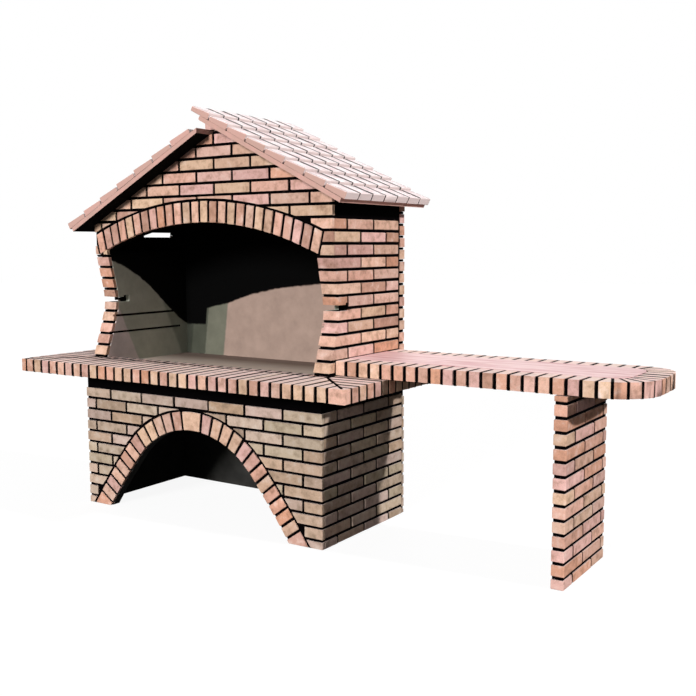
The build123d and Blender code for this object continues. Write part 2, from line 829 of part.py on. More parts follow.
slab_foot_left = left_face - slab_overhang_left
slab_foot_right = right_face + slab_overhang_right
slab_head_right = right_face - right_slab_run
rise_x = pitch_sin * roof_slab
rise_z = pitch_cos * roof_slab
slab_plumb = roof_slab / pitch_cos
left_slab_end = left_face + left_slab_run
roof_depth = roof_back - front_face

left_slab_points = [(slab_foot_left, underside_left(slab_foot_left)),
                    (left_slab_end, underside_left(left_slab_end)),
                    (left_slab_end, underside_left(left_slab_end) + slab_plumb),
                    (slab_foot_left - rise_x, underside_left(slab_foot_left) + rise_z)]
left_slab_flat = polygon_sketch([(x - middle, z) for x, z in left_slab_points])
make_layer("roof_slab_left", front_plane(roof_back), left_slab_flat, roof_depth)

right_slab_points = [(slab_foot_right, underside_right(slab_foot_right)),
                     (slab_foot_right + rise_x, underside_right(slab_foot_right) + rise_z),
                     (slab_head_right + rise_x, underside_right(slab_head_right) + rise_z),
                     (slab_head_right, underside_right(slab_head_right))]

with BuildPart() as roof_slab_right:
    with BuildSketch(front_plane(roof_back)) as slab_sketch:
        Polygon(*[(x - middle, z) for x, z in right_slab_points], align=None)
        fillet(slab_sketch.vertices().sort_by(Axis.X)[:2], radius=min(slab_end_radius, roof_slab * 0.45))
    extrude(amount=roof_depth)
save(roof_slab_right, "roof_slab_right")

left_slope_length = (plumb_edge - tile_gap - slab_foot_left + rise_x) / pitch_cos
right_slope_length = (slab_foot_right - slab_head_right) / pitch_cos
tile_pitch_left = (left_slope_length + tile_drip) / tile_rows_left
tile_pitch_right = (right_slope_length + tile_drip + tile_ridge_overhang) / tile_rows_right


def tile_sections(pitch, rows):
    """Flat wedge sections of one column of tiles, measured up the slope from the slab's foot."""
    with BuildSketch(Plane.XY, mode=Mode.PRIVATE) as flat:
        for number in range(rows):
            nose = number * pitch - tile_drip
            tail = nose + pitch - tile_gap
            Polygon((nose, 0), (tail, 0), (tail, tile_tail), (nose, tile_nose), align=None)
    return flat.sketch


def tile_columns():
    """Spans of the tile columns from the front verge to the back, the last one cut."""
    spans = []
    start = front_face
    while roof_back - start > smallest_cut:
        spans.append((start, min(start + tile_width, roof_back)))
        start += tile_width + tile_gap
    return spans


foot_left = (slab_foot_left - rise_x, underside_left(slab_foot_left) + rise_z)
foot_right = (slab_foot_right + rise_x, underside_right(slab_foot_right) + rise_z)

with BuildPart() as roof_tiles_left:
    for start, end in tile_columns():
        with BuildSketch(Plane(origin=(foot_left[0], end, foot_left[1]),
                               x_dir=(pitch_cos, 0, pitch_sin), z_dir=(0, -1, 0))):
            add(tile_sections(tile_pitch_left, tile_rows_left))
        extrude(amount=end - start)
save(roof_tiles_left, "roof_tiles_left")

with BuildPart() as roof_tiles_right:
    for start, end in tile_columns():
        with BuildSketch(Plane(origin=(foot_right[0], start, foot_right[1]),
                               x_dir=(-pitch_cos, 0, pitch_sin), z_dir=(0, 1, 0))):
            add(tile_sections(tile_pitch_right, tile_rows_right))
        extrude(amount=end - start)
save(roof_tiles_right, "roof_tiles_right")

# Side table: a slab with a rim of bricks on edge, round at its free end, and two inlaid slabs

table_front = front_face + table_set_back
table_back = table_front + table_depth
table_end = right_face + table_length
corner_x = table_end - table_corner


def table_outline(depth):
    """Flat outline of the table, some depth in from its three free edges."""
    with BuildSketch(Plane.XY, mode=Mode.PRIVATE) as flat:
        Polygon(*box_points(right_face, table_end - depth, table_front + depth, table_back - depth),
                align=None)
        fillet(flat.vertices().sort_by(Axis.X)[-2:], radius=table_corner - depth)
    return flat.sketch


def end_point(distance):
    """Point on the round end and the angle of its normal, by distance from the front corner's start."""
    quarter = math.pi / 2 * table_corner
    straight = table_depth - 2 * table_corner
    if distance < quarter:
        turn = distance / table_corner - math.pi / 2
        centre_y = table_front + table_corner
    elif distance < quarter + straight:
        return table_end, table_front + table_corner + distance - quarter, 0
    else:
        turn = (distance - quarter - straight) / table_corner
        centre_y = table_back - table_corner
    x = corner_x + table_corner * math.cos(turn)
    return x, centre_y + table_corner * math.sin(turn), math.degrees(turn)


end_length = math.pi * table_corner + table_depth - 2 * table_corner
end_pitch = end_length / table_end_bricks
straight_joints = math.floor((corner_x - right_face - smallest_cut) / rim_pitch)

with BuildSketch(Plane.XY) as table_joints:
    for number in range(table_end_bricks + 1):
        x, y, normal = end_point(number * end_pitch)
        with Locations(Location((x, y, 0), (0, 0, normal))):
            Rectangle(2 * table_rim + rim_joint, rim_joint)
    for number in range(1, straight_joints + 1):
        for y in (table_front, table_back):
            with Locations((corner_x - number * rim_pitch, y)):
                Rectangle(rim_joint, 2 * table_rim + rim_joint)

table_rim_flat = combined(table_outline(0), table_outline(table_rim), table_joints.sketch)

with BuildPart() as table_slab:
    with BuildSketch(Plane.XY.offset(counter_top)):
        add(table_outline(slip))
    extrude(amount=table_slab_thickness)
save(table_slab, "table_slab")

with BuildPart() as table_rim_bricks:
    with BuildSketch(Plane.XY.offset(counter_top)):
        add(table_rim_flat)
    extrude(amount=table_thickness)
    with BuildSketch(Plane.XY.offset(counter_top)):
        add(table_outline(slip))
    extrude(amount=table_slab_thickness, mode=Mode.SUBTRACT)
save(table_rim_bricks, "table_rim_bricks")

with BuildPart() as table_rim_pointing:
    with BuildSketch(Plane.XY.offset(counter_top)):
        add(combined(table_outline(pointing_recess), table_outline(table_rim), table_rim_flat))
    extrude(amount=table_thickness - top_recess)
    with BuildSketch(Plane.XY.offset(counter_top)):
        add(table_outline(slip))
    extrude(amount=table_slab_thickness, mode=Mode.SUBTRACT)
save(table_rim_pointing, "table_rim_pointing")

field_front = table_front + table_rim
field_back = table_back - table_rim
inlay_split = field_front + (field_back - field_front) * inlay_front_share

for inlay_name, low, high in (("table_inlay_front", table_front, inlay_split - inlay_joint / 2),
                              ("table_inlay_back", inlay_split + inlay_joint / 2, table_back)):
    strip = polygon_sketch(box_points(right_face, table_end, low, high))
    with BuildPart() as inlay:
        with BuildSketch(Plane.XY.offset(table_bed)):
            add(combined(table_outline(table_rim + inlay_joint), strip, mode=Mode.INTERSECT))
        extrude(amount=table_top - table_bed)
    save(inlay, inlay_name)

# Pier under the table

pier_right = table_end - pier_in
pier_left = pier_right - pier_thickness
pier_back = table_front + pier_depth
pier_rows = rows_between(0, counter_top, pier_first_brick)
pier_flat = rectangles_sketch(wall_rectangles(table_front, pier_back, pier_rows, (brick_width, brick_length)))
pier_sheet = polygon_sketch(box_points(table_front + pointing_recess, pier_back - pointing_recess,
                                       0, counter_top))
make_layer("pier_bricks", side_plane(pier_left), pier_flat, pier_thickness)
make_layer("pier_pointing", side_plane(pier_left + pier_thickness / 2), combined(pier_sheet, pier_flat),
           pier_thickness / 2 - pointing_recess, pier_thickness / 2 - pointing_recess)
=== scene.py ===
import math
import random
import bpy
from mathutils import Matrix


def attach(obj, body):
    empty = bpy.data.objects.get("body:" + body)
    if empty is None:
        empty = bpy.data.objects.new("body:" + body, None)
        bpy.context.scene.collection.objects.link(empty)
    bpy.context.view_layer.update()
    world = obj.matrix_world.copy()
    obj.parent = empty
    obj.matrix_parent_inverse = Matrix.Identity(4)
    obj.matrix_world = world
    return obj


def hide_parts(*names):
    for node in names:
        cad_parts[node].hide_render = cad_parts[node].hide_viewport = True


bl_info = {
    "name": "Garden Barbecue",
    "version": (1, 0, 0),
    "blender": (4, 5, 0),
    "location": "View3D > Sidebar > Barbecue",
    "description": "Dresses a brick garden barbecue: worn bricks, raked joints, roof tiles, soot and stage",
    "category": "Add Mesh",
}

import bpy
import numpy as np
from bpy.props import FloatProperty, FloatVectorProperty, PointerProperty
from mathutils import Matrix, Vector

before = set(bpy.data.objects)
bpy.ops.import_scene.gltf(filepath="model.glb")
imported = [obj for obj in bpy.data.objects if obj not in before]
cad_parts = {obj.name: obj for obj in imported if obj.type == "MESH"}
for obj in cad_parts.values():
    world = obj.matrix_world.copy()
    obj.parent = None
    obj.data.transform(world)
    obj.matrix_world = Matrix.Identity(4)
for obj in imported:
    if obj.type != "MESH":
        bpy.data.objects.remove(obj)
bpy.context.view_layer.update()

# Camera of the photograph: its place in metres, its turns in degrees
CAMERA_PLACE = (2.6875, -3.8055, 1.44)
CAMERA_YAW = 33.473
CAMERA_PITCH = 6.228
CAMERA_ROLL = -0.223
FOCAL_PIXELS = 933.83     # focal length in pixels of the picture
PICTURE_WIDTH = 696       # in pixels
SENSOR_WIDTH = 36         # in millimetres

# Stage: name, strength, softness in degrees and direction of each lamp
LAMPS = (
    ("front lamp", 3.5, 14.0, (-0.03, 1, -0.3)),
    ("right lamp", 2.75, 2.0, (-1, -0.1, -0.45)),
    ("back lamp", 1.5, 30.0, (0.55, -1, -0.2)),
)
FLOOR_SIZE = 60
FLOOR_GREY = 0.12         # what the floor throws back
FLOOR_GLOW = 0.92         # and how white the camera sees it
SKY_LOW = 0.03            # strength of the sky at the horizon
SKY_HIGH = 0.3            # and overhead

# Which nodes are laid or cast in which ware
BRICK_NODES = (
    "base_arch_bricks", "base_arch_keystone", "base_front_bricks", "base_back_bricks",
    "base_right_bricks", "base_left_bricks", "counter_rim_bricks", "jamb_left_bricks",
    "jamb_right_bricks", "lintel_arch_bricks", "gable_bricks", "firebox_left_bricks",
    "firebox_right_bricks", "firebox_back_bricks", "table_rim_bricks", "pier_bricks",
)
POINTING_NODES = (
    "base_arch_pointing", "base_front_pointing", "base_back_pointing", "base_right_pointing",
    "base_left_pointing", "counter_rim_pointing", "jamb_left_pointing", "jamb_right_pointing",
    "lintel_arch_pointing", "gable_pointing", "firebox_left_pointing", "firebox_right_pointing",
    "firebox_back_pointing", "table_rim_pointing", "pier_pointing",
)
TILE_NODES = ("roof_tiles_left", "roof_tiles_right")
CONCRETE_NODES = ("counter_slab", "hearth_curb", "table_slab")
# painted shade: the wood store's panels are near black for the shade inside it
STORE_SHADE_NODES = ("base_front_panel", "base_left_panel", "base_right_panel", "base_back_panel")
# soot and painted shade: these firebox pieces are black
SOOTED_AND_SHADED_NODES = ("gable_core", "firebox_left_panel", "firebox_right_panel")
ROOF_NODES = ("roof_slab_left", "roof_slab_right")
LINING_NODES = ("lining_left", "lining_right")
INLAY_NODES = ("table_inlay_front", "table_inlay_back")

# Wear: how the CAD solids are cleaned, rubbed and chipped
MERGE_DISTANCE = 0.00001          # corners closer than this are one corner
FLAT_ANGLE = math.radians(0.5)    # faces that turn by less are one face
EDGE_ANGLE = math.radians(40)     # edges that turn by more are rubbed
THINNEST = 0.02                   # a thinner brick shrinks by the same share as one of this size
DRAWS_PER_METRE = 100             # a brick's random draws come from the centimetre that its middle is in
DRAW_PRIMES = (73856093, 19349663, 83492791)   # they make one seed of the three centimetres
SEED_SPREAD = 61.0                # spreads the bricks' tones, from 0 to 1, over so many noise patterns

# Lower edge of the soot and of the lintel's painted shadow, in metres: by depth and height on the linings, by
# width and height on the back wall
LINING_SOOT_AND_SHADOW = (
    (-0.173, 1.368), (-0.092, 1.344), (-0.018, 1.309), (0.058, 1.266), (0.136, 1.211),
    (0.215, 1.143), (0.297, 1.073), (0.381, 1.007), (0.441, 0.972),
)
BACK_SOOT_AND_SHADOW = (
    (-1.311, 0.968), (-1.155, 0.970), (-1.144, 1.070), (-0.976, 1.106), (-0.806, 1.158),
    (-0.621, 1.197), (-0.443, 1.217), (-0.305, 1.231), (0.114, 1.252),
)
SOOT_SHADOW_FLOOR = 0.9          # a colour ramp holds these heights as shares of the span on the next line, above this floor
SOOT_SHADOW_SPAN = 0.5
SOOT_SHADOW_BLUR = 0.006         # half the width of the soft edge of the soot and painted shadow, and how far it wanders

# Bands of painted light and painted shadow of the jambs, in metres: by depth on the linings, by width on the
# back wall, each with its colour
LINING_LIGHT_AND_SHADOW = (
    (-0.25, "lining"), (-0.022, "lining"), (-0.014, "lining_shadow"), (0.33, "lining_shadow"),
    (0.35, "lining_deep_shadow"), (0.45, "lining_deep_shadow"),
)
BACK_LIGHT_AND_SHADOW = (
    (-1.34, "back_wall_deep_shadow"), (-1.268, "back_wall_deep_shadow"), (-1.26, "back_wall_mid_shadow"),
    (-1.156, "back_wall_mid_shadow"), (-1.148, "back_wall_shadow"), (-1.008, "back_wall_shadow"),
    (-0.998, "back_wall"), (0.2, "back_wall"),
)
LINING_LEAN = 0.466       # how far the bands lean for each metre of height
BACK_LEAN = -0.136

MIDDLE_X = -0.599         # middle of the firebox
GROOVES = (0.955, 1.049)  # bottoms of the grate grooves
GROOVE = 0.012            # their height
GROOVE_MOUTH = 0.713      # their insides lie farther from the middle than this
ROOF_MIDDLE_Y = 0.1095    # middle of the roof's depth
ROOF_HALF = 0.391         # from there to its verges
VERGE_FACE = 0.005        # the verges' faces are told from the joints' by this margin


def linear(code):
    """Linear colour of an sRGB hex code."""
    shares = [int(code[place:place + 2], 16) / 255 for place in (1, 3, 5)]
    return [s / 12.92 if s <= 0.04045 else ((s + 0.055) / 1.055) ** 2.4 for s in shares]


def opaque(colour):
    """Colour with a full alpha."""
    return (*colour[:3], 1.0)


def grey(value):
    """Grey as a colour."""
    return (value, value, value)


def scale_of(millimetres):
    """Scale of a noise whose clouds or grains are about this many millimetres across."""
    return round(1000 / millimetres)


def put(tree, kind, inputs=None, **traits):
    """Adds a node with its settings; an input is a value or the socket it is linked to."""
    item = tree.nodes.new(kind)
    for name, value in traits.items():
        setattr(item, name, value)
    for name, value in (inputs or {}).items():
        if isinstance(value, bpy.types.NodeSocket):
            tree.links.new(value, item.inputs[name])
        else:
            item.inputs[name].default_value = value
    return item


def set_stops(ramp, stops):
    """Stops of a colour ramp, as (place, colour)."""
    elements = ramp.color_ramp.elements
    while len(elements) > 1:
        elements.remove(elements[-1])
    elements[0].position = stops[0][0]
    elements[0].color = opaque(stops[0][1])
    for place, colour in stops[1:]:
        elements.new(place).color = opaque(colour)


def new_material(name):
    """Empty node material and its tree."""
    material = bpy.data.materials.new(name)
    material.use_nodes = True
    material.node_tree.nodes.clear()
    return material, material.node_tree


def finish_material(tree, colour, roughness, height, depth, specular=0.3):
    """Shader and output for a rough mineral surface, with pits as deep as depth; specular is 0.5 on glass."""
    bump = put(tree, "ShaderNodeBump", {"Height": height, "Distance": depth, "Strength": 1.0})
    shader = put(tree, "ShaderNodeBsdfPrincipled", {
        "Base Color": colour, "Roughness": roughness, "Specular IOR Level": specular,
        "Normal": bump.outputs["Normal"]})
    put(tree, "ShaderNodeOutputMaterial", {"Surface": shader.outputs["BSDF"]})


def select_only(piece):
    """Selects one object and makes it active."""
    bpy.ops.object.select_all(action="DESELECT")
    piece.select_set(True)
    bpy.context.view_layer.objects.active = piece


def island_of_vertices(mesh):
    """Number of the loose island that each vertex belongs to."""
    parent = list(range(len(mesh.vertices)))

    def root(index):
        while parent[index] != index:
            parent[index] = parent[parent[index]]
            index = parent[index]
        return index

    for edge in mesh.edges:
        first, second = (root(index) for index in edge.vertices)
        if first != second:
            parent[second] = first
    roots = [root(index) for index in range(len(parent))]
    numbers = {value: number for number, value in enumerate(sorted(set(roots)))}
    return np.array([numbers[value] for value in roots])


def draws_at(centre):
    """Random draws that depend only on where a brick lies."""
    x, y, z = (int(round(value * DRAWS_PER_METRE)) for value in centre)
    return random.Random(x * DRAW_PRIMES[0] ^ y * DRAW_PRIMES[1] ^ z * DRAW_PRIMES[2])


def vertex_places(mesh):
    """Places of a mesh's vertices, one row each."""
    places = np.zeros(len(mesh.vertices) * 3)
    mesh.vertices.foreach_get("co", places)
    return places.reshape(-1, 3)


def move_vertices(mesh, places):
    """Puts a mesh's vertices at new places."""
    mesh.vertices.foreach_set("co", places.ravel())
    mesh.update()


def merged_copy(node, label):
    """A copy of a node as an object of its own, its doubled vertices merged and its flat faces joined."""
    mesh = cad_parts[node].data.copy()
    mesh.name = label
    piece = bpy.data.objects.new(label, mesh)
    bpy.context.scene.collection.objects.link(piece)
    select_only(piece)
    bpy.ops.mesh.customdata_custom_splitnormals_clear()
    bpy.ops.object.mode_set(mode="EDIT")
    bpy.ops.mesh.select_all(action="SELECT")
    bpy.ops.mesh.remove_doubles(threshold=MERGE_DISTANCE)
    bpy.ops.mesh.dissolve_limited(angle_limit=FLAT_ANGLE)
    bpy.ops.mesh.normals_make_consistent(inside=False)
    bpy.ops.object.mode_set(mode="OBJECT")
    return piece


def lay_unevenly(mesh, rub, lay):
    """Makes each brick or tile smaller by rub and lays it a little out of place.

    It also gives each one two random tones for its material, and its vertices their place across it,
    from -1 to 1 along Y.
    """
    places = vertex_places(mesh)
    islands = island_of_vertices(mesh)
    tones = np.zeros(len(places))
    shades = np.zeros(len(places))
    across = np.zeros(len(places))
    for number in range(islands.max() + 1):
        mine = islands == number
        low = places[mine].min(0)
        high = places[mine].max(0)
        centre = (low + high) / 2
        draws = draws_at(centre)
        tones[mine] = draws.random()
        shades[mine] = draws.random()
        across[mine] = (places[mine, 1] - centre[1]) / ((high[1] - low[1]) / 2)
        shrink = 1 - (np.array(rub) + lay * draws.random()) / (high - low).clip(THINNEST)
        shift = np.array([draws.uniform(-1, 1) for _ in range(3)]) * lay / 2
        places[mine] = centre + (places[mine] - centre) * shrink + shift
    for name, values in (("tone", tones), ("shade", shades), ("across", across)):
        attribute = mesh.attributes.new(name, "FLOAT", "POINT")
        attribute.data.foreach_set("value", values.astype(np.float32))
    move_vertices(mesh, places)


def rub_edges(piece, wear):
    """Rubs the sharp edges of the active object down to a width."""
    bevel = piece.modifiers.new("rubbed edges", "BEVEL")
    bevel.width = wear
    bevel.segments = 1
    bevel.limit_method = "ANGLE"
    bevel.angle_limit = EDGE_ANGLE
    bpy.ops.object.modifier_apply(modifier=bevel.name)


def chip_corners(mesh, chips):
    """Moves every vertex by a random step, up to chips along each axis."""
    places = vertex_places(mesh)
    draws = np.random.default_rng(len(places))
    move_vertices(mesh, places + draws.uniform(-chips, chips, places.shape))


def worn_copy(node, material, wear, rub, lay):
    """A worn copy of a node's bricks or tiles that stands for it."""
    piece = merged_copy(node, f"worn_{node}")
    lay_unevenly(piece.data, rub, lay)
    rub_edges(piece, wear)
    chip_corners(piece.data, bpy.context.scene.barbecue_sizes.chips)
    piece.data.materials.clear()
    piece.data.materials.append(material)
    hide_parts(node)
    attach(piece, "root")


def dress(nodes, material):
    """Gives CAD nodes their material."""
    for name in nodes:
        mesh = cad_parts[name].data
        mesh.materials.clear()
        mesh.materials.append(material)


def clay_brick(name, shade_brightness):
    """Pressed clay facing brick, kiln mottled: orange, salmon and beige bricks mixed, matt and sandy.

    Its second argument is its brightness under painted shade, 1 on a brick in full light; the painted shade
    also takes colour away.
    """
    colours = bpy.context.scene.barbecue_colours
    material, tree = new_material(name)
    spot = put(tree, "ShaderNodeTexCoord").outputs
    tone = put(tree, "ShaderNodeAttribute", attribute_name="tone").outputs["Fac"]
    shade = put(tree, "ShaderNodeAttribute", attribute_name="shade").outputs["Fac"]
    seed = put(tree, "ShaderNodeMath", {0: tone, 1: SEED_SPREAD}, operation="MULTIPLY")
    clay = put(tree, "ShaderNodeValToRGB", {"Fac": tone})
    set_stops(clay, [(0.0, colours.orange_clay), (0.22, colours.salmon_clay), (0.5, colours.beige_clay),
                     (0.78, colours.pink_clay), (1.0, colours.brown_clay)])
    # kiln blotches of about 45 mm, different on every brick
    blotch = put(tree, "ShaderNodeTexNoise", {
        "Vector": spot["Object"], "W": seed.outputs[0], "Scale": scale_of(45), "Detail": 4.0,
        "Roughness": 0.62}, noise_dimensions="4D")
    dark = put(tree, "ShaderNodeValToRGB", {"Fac": blotch.outputs["Fac"]})
    set_stops(dark, [(0.49, grey(0.0)), (0.7, grey(0.7))])
    light = put(tree, "ShaderNodeValToRGB", {"Fac": blotch.outputs["Fac"]})
    set_stops(light, [(0.28, grey(0.6)), (0.45, grey(0.0))])
    darkened = put(tree, "ShaderNodeMix", {
        "Factor": dark.outputs["Color"], 6: clay.outputs["Color"],
        7: opaque(colours.burnt_clay)}, data_type="RGBA")
    bleached = put(tree, "ShaderNodeMix", {
        "Factor": light.outputs["Color"], 6: darkened.outputs[2],
        7: opaque(colours.bleached_clay)}, data_type="RGBA")
    # sand grains of about 4 mm, coarser than the real ones so that they show
    grain = put(tree, "ShaderNodeTexNoise", {
        "Vector": spot["Object"], "Scale": scale_of(4.17), "Detail": 2.0, "Roughness": 0.6})
    # painted shade: a brightness below 1 darkens the brick, greys it and shifts its hue
    value = put(tree, "ShaderNodeMapRange", {"Value": shade, "To Min": 0.82 * shade_brightness, "To Max": 1.08 * shade_brightness})
    speck = put(tree, "ShaderNodeMapRange", {
        "Value": grain.outputs["Fac"], "From Min": 0.3, "From Max": 0.7, "To Min": 0.88, "To Max": 1.07})
    level = put(tree, "ShaderNodeMath", {0: value.outputs[0], 1: speck.outputs[0]}, operation="MULTIPLY")
    toned = put(tree, "ShaderNodeHueSaturation", {
        "Hue": 0.6 - 0.1 * shade_brightness, "Saturation": 0.8 * shade_brightness + 0.2, "Value": level.outputs[0],
        "Color": bleached.outputs[2]})
    # painted light: tops are painted paler, for the light that falls on them from above
    facing = put(tree, "ShaderNodeSeparateXYZ", {0: spot["Normal"]})
    top = put(tree, "ShaderNodeMapRange", {
        "Value": facing.outputs["Z"], "From Min": 0.75, "From Max": 0.98, "To Max": 0.62})
    lit_tops = put(tree, "ShaderNodeMix", {
        "Factor": top.outputs[0], 6: toned.outputs["Color"], 7: opaque(colours.lit_top)}, data_type="RGBA")
    pits = put(tree, "ShaderNodeMath", {0: grain.outputs["Fac"], 1: blotch.outputs["Fac"]}, operation="ADD")
    finish_material(tree, lit_tops.outputs[2], 0.88, pits.outputs[0], 0.0012)
    return material


def tinted_mortar():
    """Black-tinted cement mortar, raked back: nearly black, gritty, with no shine."""
    colours = bpy.context.scene.barbecue_colours
    material, tree = new_material("black tinted mortar")
    spot = put(tree, "ShaderNodeTexCoord").outputs
    # sand of about 3 mm
    grit = put(tree, "ShaderNodeTexNoise", {
        "Vector": spot["Object"], "Scale": scale_of(3.125), "Detail": 3.0})
    tint = put(tree, "ShaderNodeValToRGB", {"Fac": grit.outputs["Fac"]})
    set_stops(tint, [(0.4, colours.mortar), (0.75, colours.mortar_grit_and_tile_shade)])
    finish_material(tree, tint.outputs["Color"], 0.95, grit.outputs["Fac"], 0.0015, 0.02)
    return material


def cast_concrete(name, light, dark):
    """Cast concrete with the faint clouds that a steel mould leaves, in a light and a dark grey."""
    material, tree = new_material(name)
    spot = put(tree, "ShaderNodeTexCoord").outputs
    # clouds of about 145 mm and sand of 4 mm
    cloud = put(tree, "ShaderNodeTexNoise", {"Vector": spot["Object"], "Scale": scale_of(145), "Detail": 5.0})
    sand = put(tree, "ShaderNodeTexNoise", {"Vector": spot["Object"], "Scale": scale_of(3.85), "Detail": 2.0})
    tint = put(tree, "ShaderNodeValToRGB", {"Fac": cloud.outputs["Fac"]})
    set_stops(tint, [(0.35, dark), (0.68, light)])
    finish_material(tree, tint.outputs["Color"], 0.9, sand.outputs["Fac"], 0.0008)
    return material


def soot_and_shade_black():
    """Concrete under old soot and painted shade: black, velvety, slightly uneven."""
    colours = bpy.context.scene.barbecue_colours
    material, tree = new_material("concrete under soot")
    spot = put(tree, "ShaderNodeTexCoord").outputs
    # clouds of about 110 mm
    cloud = put(tree, "ShaderNodeTexNoise", {"Vector": spot["Object"], "Scale": scale_of(110), "Detail": 5.0})
    tint = put(tree, "ShaderNodeValToRGB", {"Fac": cloud.outputs["Fac"]})
    set_stops(tint, [(0.35, colours.soot_and_shade), (0.8, colours.thin_soot_and_shade)])
    finish_material(tree, tint.outputs["Color"], 0.96, cloud.outputs["Fac"], 0.0008, 0.02)
    return material


def soot_and_shadow_above(tree, place, axis, edge, shake):
    """Socket that goes from 0 below the edge of the soot and painted shadow to 1 above it; the edge is a line
    of (place, height).
    """
    start, end = edge[0][0], edge[-1][0]
    along = put(tree, "ShaderNodeMapRange", {"Value": place[axis], "From Min": start, "From Max": end})
    line = put(tree, "ShaderNodeValToRGB", {"Fac": along.outputs[0]})
    set_stops(line, [((at - start) / (end - start), grey((height - SOOT_SHADOW_FLOOR) / SOOT_SHADOW_SPAN))
                     for at, height in edge])
    height = put(tree, "ShaderNodeMapRange", {
        "Value": line.outputs["Color"], "To Min": SOOT_SHADOW_FLOOR, "To Max": SOOT_SHADOW_FLOOR + SOOT_SHADOW_SPAN})
    above = put(tree, "ShaderNodeMath", {0: place["Z"], 1: height.outputs[0]}, operation="SUBTRACT")
    moved = put(tree, "ShaderNodeMath", {0: above.outputs[0], 1: shake}, operation="ADD")
    soot_and_shade = put(tree, "ShaderNodeMapRange", {
        "Value": moved.outputs[0], "From Min": -SOOT_SHADOW_BLUR, "From Max": SOOT_SHADOW_BLUR},
        interpolation_type="SMOOTHSTEP")
    return soot_and_shade.outputs[0]


def light_and_shadow_bands(tree, place, axis, light_bands, lean, shake):
    """Socket with the colour of the bands of painted light and painted shadow, which lean by lean for each
    metre of height.
    """
    colours = bpy.context.scene.barbecue_colours
    slant = put(tree, "ShaderNodeMath", {0: place["Z"], 1: lean, 2: shake}, operation="MULTIPLY_ADD")
    across = put(tree, "ShaderNodeMath", {0: place[axis], 1: slant.outputs[0]}, operation="ADD")
    first, last = light_bands[0][0], light_bands[-1][0]
    share = put(tree, "ShaderNodeMapRange", {
        "Value": across.outputs[0], "From Min": first + lean * SOOT_SHADOW_FLOOR,
        "From Max": last + lean * SOOT_SHADOW_FLOOR})
    band_colour = put(tree, "ShaderNodeValToRGB", {"Fac": share.outputs[0]})
    set_stops(band_colour, [((at - first) / (last - first), getattr(colours, colour)) for at, colour in light_bands])
    return band_colour.outputs["Color"]


def groove_shade(tree, place, soot_and_shade):
    """Adds painted shade inside the grate grooves to the soot and painted shadow on a lining."""
    middle = put(tree, "ShaderNodeMath", {0: place["X"], 1: MIDDLE_X}, operation="SUBTRACT")
    away = put(tree, "ShaderNodeMath", {0: middle.outputs[0]}, operation="ABSOLUTE")
    deep = put(tree, "ShaderNodeMath", {0: away.outputs[0], 1: GROOVE_MOUTH}, operation="GREATER_THAN")
    for low in GROOVES:
        off = put(tree, "ShaderNodeMath", {0: place["Z"], 1: low + GROOVE / 2}, operation="SUBTRACT")
        far = put(tree, "ShaderNodeMath", {0: off.outputs[0]}, operation="ABSOLUTE")
        near = put(tree, "ShaderNodeMath", {0: far.outputs[0], 1: GROOVE / 2}, operation="LESS_THAN")
        inside = put(tree, "ShaderNodeMath", {0: near.outputs[0], 1: deep.outputs[0]}, operation="MULTIPLY")
        soot_and_shade = put(tree, "ShaderNodeMath", {0: soot_and_shade, 1: inside.outputs[0]}, operation="MAXIMUM").outputs[0]
    return soot_and_shade


def shaded_sooted_wall(name, axis, edge, light_bands, lean, grooved=False):
    """Firebox wall: trowelled refractory concrete under bands of painted light and painted shadow, and soot
    with painted shadow above a line.

    axis is the one along the wall, X or Y, that the edge of the soot and painted shadow and the bands are
    given by.
    """
    colours = bpy.context.scene.barbecue_colours
    material, tree = new_material(name)
    spot = put(tree, "ShaderNodeTexCoord").outputs
    place = put(tree, "ShaderNodeSeparateXYZ", {0: spot["Object"]}).outputs
    # the edges of the soot, the painted shadow and the bands of painted light wander by a few millimetres
    wander = put(tree, "ShaderNodeTexNoise", {"Vector": spot["Object"], "Scale": scale_of(33), "Detail": 4.0})
    shake = put(tree, "ShaderNodeMapRange", {
        "Value": wander.outputs["Fac"], "To Min": -SOOT_SHADOW_BLUR, "To Max": SOOT_SHADOW_BLUR}).outputs[0]
    soot_and_shade = soot_and_shadow_above(tree, place, axis, edge, shake)
    if grooved:
        soot_and_shade = groove_shade(tree, place, soot_and_shade)
    # trowel clouds of about 90 mm, with pores in them
    cloud = put(tree, "ShaderNodeTexNoise", {
        "Vector": spot["Object"], "Scale": scale_of(90), "Detail": 6.0, "Roughness": 0.6})
    value = put(tree, "ShaderNodeMapRange", {
        "Value": cloud.outputs["Fac"], "From Min": 0.3, "From Max": 0.7, "To Min": 0.86, "To Max": 1.1})
    tint = put(tree, "ShaderNodeHueSaturation", {
        "Value": value.outputs[0], "Color": light_and_shadow_bands(tree, place, axis, light_bands, lean, shake)})
    mixed = put(tree, "ShaderNodeMix", {
        "Factor": soot_and_shade, 6: tint.outputs["Color"], 7: opaque(colours.soot_and_shade)}, data_type="RGBA")
    finish_material(tree, mixed.outputs[2], 0.93, cloud.outputs["Fac"], 0.0015, 0.05)
    return material


